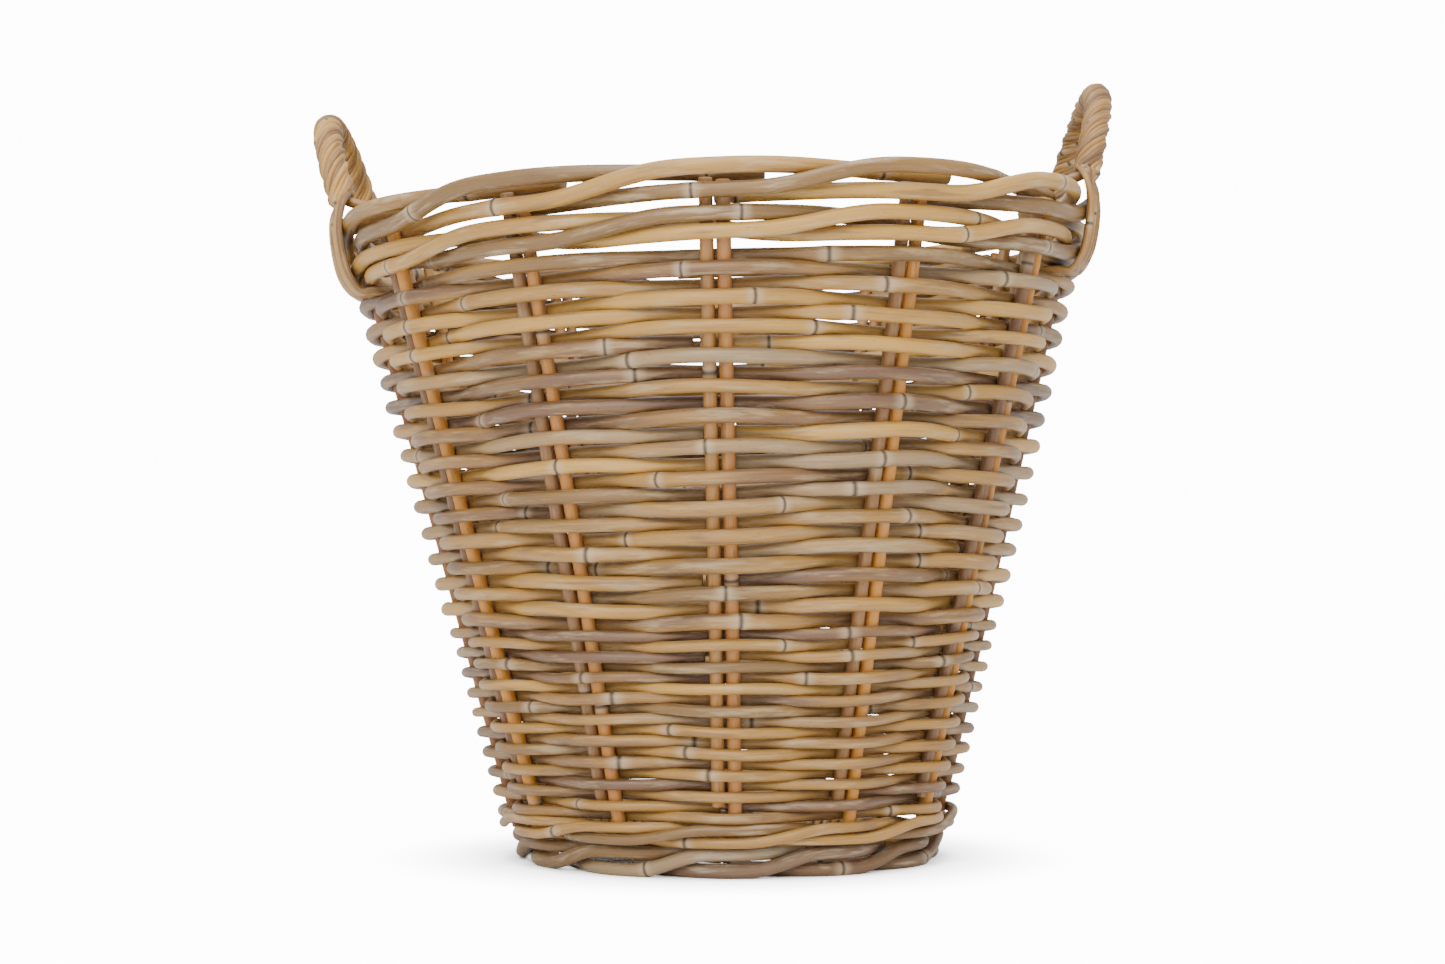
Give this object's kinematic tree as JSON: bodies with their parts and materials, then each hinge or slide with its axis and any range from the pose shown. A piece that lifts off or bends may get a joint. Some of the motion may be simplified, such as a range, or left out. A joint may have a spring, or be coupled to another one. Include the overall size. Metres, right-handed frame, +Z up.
{
  "type": "wicker log basket",
  "caption": "Round, deep wicker log basket of whole rattan cane, flared wall of paired stakes and woven rows, plaited rim and foot borders, two roped loop handles at the rim.",
  "frame": {"origin": "On the floor, at the centre of the foot border, on the axis of the base", "axes": "+Z up; the two handles stand at +X and -X; -Y is the front"},
  "size_m": [0.5126, 0.4908, 0.4985],
  "materials": {
    "weaver_cane": "satin",
    "stake_cane": "satin",
    "border_cane": "satin",
    "handle_cane": "satin",
    "base_cane": "satin"
  },
  "bodies": {
    "root": {"base_binding": "base_cane", "base_sticks_lower": "base_cane", "base_sticks_upper": "base_cane", "base_weave": "base_cane", "foot_border": "border_cane", "handle_core_left": "handle_cane", "handle_core_right": "handle_cane", "handle_strand_left_1": "handle_cane", "handle_strand_left_2": "handle_cane", "handle_strand_left_3": "handle_cane", "handle_strand_left_4": "handle_cane", "handle_strand_right_1": "handle_cane", "handle_strand_right_2": "handle_cane", "handle_strand_right_3": "handle_cane", "handle_strand_right_4": "handle_cane", "lower_wale_1": "border_cane", "lower_wale_2": "border_cane", "lower_wale_3": "border_cane", "rim_border_1": "border_cane", "rim_border_2": "border_cane", "rim_border_3": "border_cane", "side_rows_01": "weaver_cane", "side_rows_02": "weaver_cane", "side_rows_03": "weaver_cane", "side_rows_04": "weaver_cane", "side_rows_05": "weaver_cane", "side_rows_06": "weaver_cane", "side_rows_07": "weaver_cane", "side_rows_08": "weaver_cane", "side_rows_09": "weaver_cane", "side_rows_10": "weaver_cane", "side_rows_11": "weaver_cane", "side_rows_12": "weaver_cane", "side_rows_13": "weaver_cane", "side_rows_14": "weaver_cane", "side_rows_15": "weaver_cane", "side_rows_16": "weaver_cane", "side_rows_17": "weaver_cane", "side_rows_18": "weaver_cane", "side_rows_19": "weaver_cane", "side_rows_20": "weaver_cane", "side_rows_21": "weaver_cane", "side_rows_22": "weaver_cane", "side_rows_23": "weaver_cane", "stake_pair_01": "stake_cane", "stake_pair_02": "stake_cane", "stake_pair_03": "stake_cane", "stake_pair_04": "stake_cane", "stake_pair_05": "stake_cane", "stake_pair_06": "stake_cane", "stake_pair_07": "stake_cane", "stake_pair_08": "stake_cane", "stake_pair_09": "stake_cane", "stake_pair_10": "stake_cane", "stake_pair_11": "stake_cane", "stake_pair_12": "stake_cane", "upper_wale_1": "border_cane", "upper_wale_2": "border_cane", "upper_wale_3": "border_cane"}
  },
  "joints": []
}
